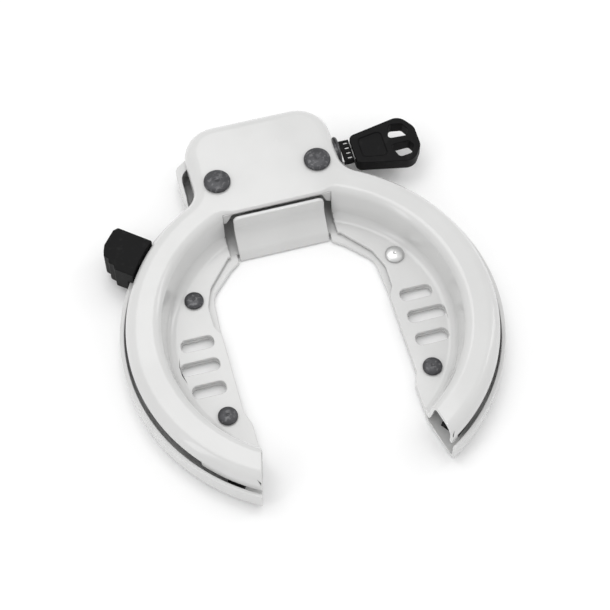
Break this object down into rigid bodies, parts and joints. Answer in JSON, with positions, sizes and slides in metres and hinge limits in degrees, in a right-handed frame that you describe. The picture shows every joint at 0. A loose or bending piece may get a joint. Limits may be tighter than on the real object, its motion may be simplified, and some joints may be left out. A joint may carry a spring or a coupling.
{
  "type": "bicycle ring lock",
  "caption": "Frame-mounted bicycle ring lock with pressed shells round a sliding ring shackle, a pull knob and a keyed cylinder.",
  "frame": {"origin": "on the flat back of the housing, midway between the housing's sides, 66 mm above the ring's centre", "axes": "+Z out of the lock's front, +Y from the wheel opening towards the housing's closed end, +X towards the key"},
  "size_m": [0.1404, 0.1539, 0.0198],
  "materials": {
    "white_coat": "gloss powder coat",
    "dark_steel": "blackened, satin",
    "bright_steel": "hardened steel, zinc plated",
    "spring_steel": "oiled spring steel",
    "cast_zinc": "as cast, matte",
    "brass": "machined",
    "black_plastic": "moulded, satin"
  },
  "bodies": {
    "housing": {"back_shell": "white_coat", "front_shell": "white_coat", "guard_plate": "white_coat", "lock_body": "cast_zinc", "cylinder_collar": "dark_steel", "latch_spring": "spring_steel", "return_spring": "spring_steel", "spring_anchor": "spring_steel", "guide_bush_left": "black_plastic", "guide_bush_right": "black_plastic", "rivet_spacer": "bright_steel", "housing_rivet_left": "dark_steel", "housing_rivet_right": "dark_steel", "flange_rivet_upper_left": "dark_steel", "flange_rivet_upper_right": "bright_steel", "flange_rivet_lower_left": "dark_steel", "flange_rivet_lower_right": "dark_steel"},
    "shackle": {"shackle_rod": "bright_steel", "knob_carrier": "bright_steel", "shackle_knob": "black_plastic", "knob_pin": "spring_steel"},
    "cylinder": {"cylinder_plug": "brass", "cylinder_crank": "spring_steel"},
    "key": {"key_blade": "bright_steel", "key_head": "black_plastic"},
    "latch": {"latch_bolt": "spring_steel"},
    "tumblers": {"tumbler_1": "brass", "tumbler_2": "brass", "tumbler_3": "brass", "tumbler_4": "brass", "tumbler_5": "brass"}
  },
  "joints": [
    {"name": "shackle_swing", "type": "hinge", "parent": "housing", "child": "shackle", "pos_m": [0, -0.066, 0.00875], "axis": [0, 0, 1], "range_deg": [0, 75], "stiffness_Nm_per_rad": 0.36, "springref_deg": -37.82, "deforming": ["return_spring"]},
    {"name": "plug_turn", "type": "hinge", "parent": "housing", "child": "cylinder", "pos_m": [0.03, 0.006, 0.00875], "axis": [1, 0, 0], "range_deg": [-90, 0]},
    {"name": "key_slide", "type": "slide", "parent": "cylinder", "child": "key", "axis": [1, 0, 0], "range_m": [0, 0.03]},
    {"name": "latch_slide", "type": "slide", "parent": "housing", "child": "latch", "axis": [0, -1, 0], "range_m": [0, 0.00291], "deforming": ["latch_spring"]},
    {"name": "tumbler_lift", "type": "slide", "parent": "cylinder", "child": "tumblers", "axis": [0, 1, 0], "range_m": [0, 0.00071]}
  ],
  "couplings": [
    {"joint": "latch_slide", "follows": "plug_turn", "m_per_rad": -0.0018462},
    {"joint": "tumbler_lift", "follows": "key_slide", "ratio": 0.023333}
  ]
}
